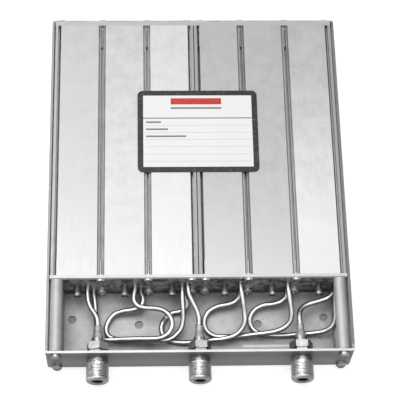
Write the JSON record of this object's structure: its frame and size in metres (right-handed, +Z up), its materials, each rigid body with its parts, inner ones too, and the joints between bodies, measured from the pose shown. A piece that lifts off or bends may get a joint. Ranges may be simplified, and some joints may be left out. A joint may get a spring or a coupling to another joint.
{
  "type": "duplexer",
  "caption": "Flat coaxial cavity duplexer in an open folded aluminium pan, with looped semi-rigid link cables, front threaded jacks and rear tuning screws.",
  "frame": {"origin": "centre of the underside of the pan, on the face that it rests on", "axes": "+X to the right seen from the jacks, +Y from the jacks to the tuning screws, +Z up out of the open top"},
  "size_m": [0.2114, 0.2875, 0.0321],
  "materials": {
    "pan_sheet": "brushed sheet, dull",
    "extrusion": "satin mill finish",
    "plate": "satin",
    "label": "printed foil",
    "plated_steel": "bright plated",
    "spacer_metal": "satin turned",
    "jack_shell": "bright plated",
    "contact_brass": "plain",
    "bead": "plain",
    "sleeve": "dull plated",
    "resonator_metal": "plain",
    "cable_sheath": "bright tinned"
  },
  "bodies": {
    "case": {"case_pan": "pan_sheet", "cavity_block_left": "extrusion", "cavity_block_right": "extrusion", "mid_plate": "plate", "rear_plate": "plate", "rating_plate": "label", "mid_plate_screws": "plated_steel", "rear_screws": "plated_steel", "corner_screws": "plated_steel", "corner_spacers": "spacer_metal", "jack_left": "jack_shell", "jack_centre": "jack_shell", "jack_right": "jack_shell", "jack_contacts": "contact_brass", "jack_insulators": "bead", "jack_nuts": "plated_steel", "clamp_nuts": "plated_steel", "cable_sleeves": "sleeve", "resonator_1": "resonator_metal", "resonator_2": "resonator_metal", "resonator_3": "resonator_metal", "resonator_4": "resonator_metal", "resonator_5": "resonator_metal", "resonator_6": "resonator_metal", "coupling_loop_1": "contact_brass", "coupling_loop_2": "contact_brass", "coupling_loop_3": "contact_brass", "coupling_loop_4": "contact_brass", "coupling_loop_5": "contact_brass", "coupling_loop_6": "contact_brass", "tuning_bushes": "plated_steel", "lock_nuts": "plated_steel", "left_jack_cable": "cable_sheath", "first_link_cable": "cable_sheath", "second_link_cable": "cable_sheath", "centre_jack_cable": "cable_sheath", "third_link_cable": "cable_sheath", "fourth_link_cable": "cable_sheath", "fifth_link_cable": "cable_sheath", "right_jack_cable": "cable_sheath"},
    "tuner_1": {"tuning_screw_1": "plated_steel"},
    "tuner_2": {"tuning_screw_2": "plated_steel"},
    "tuner_3": {"tuning_screw_3": "plated_steel"},
    "tuner_4": {"tuning_screw_4": "plated_steel"},
    "tuner_5": {"tuning_screw_5": "plated_steel"},
    "tuner_6": {"tuning_screw_6": "plated_steel"}
  },
  "joints": [
    {"name": "tuning_travel_1", "type": "slide", "parent": "case", "child": "tuner_1", "axis": [0, -1, 0], "range_m": [-0.008, 0.004]},
    {"name": "tuning_travel_2", "type": "slide", "parent": "case", "child": "tuner_2", "axis": [0, -1, 0], "range_m": [-0.008, 0.004]},
    {"name": "tuning_travel_3", "type": "slide", "parent": "case", "child": "tuner_3", "axis": [0, -1, 0], "range_m": [-0.008, 0.004]},
    {"name": "tuning_travel_4", "type": "slide", "parent": "case", "child": "tuner_4", "axis": [0, -1, 0], "range_m": [-0.008, 0.004]},
    {"name": "tuning_travel_5", "type": "slide", "parent": "case", "child": "tuner_5", "axis": [0, -1, 0], "range_m": [-0.008, 0.004]},
    {"name": "tuning_travel_6", "type": "slide", "parent": "case", "child": "tuner_6", "axis": [0, -1, 0], "range_m": [-0.008, 0.004]}
  ]
}
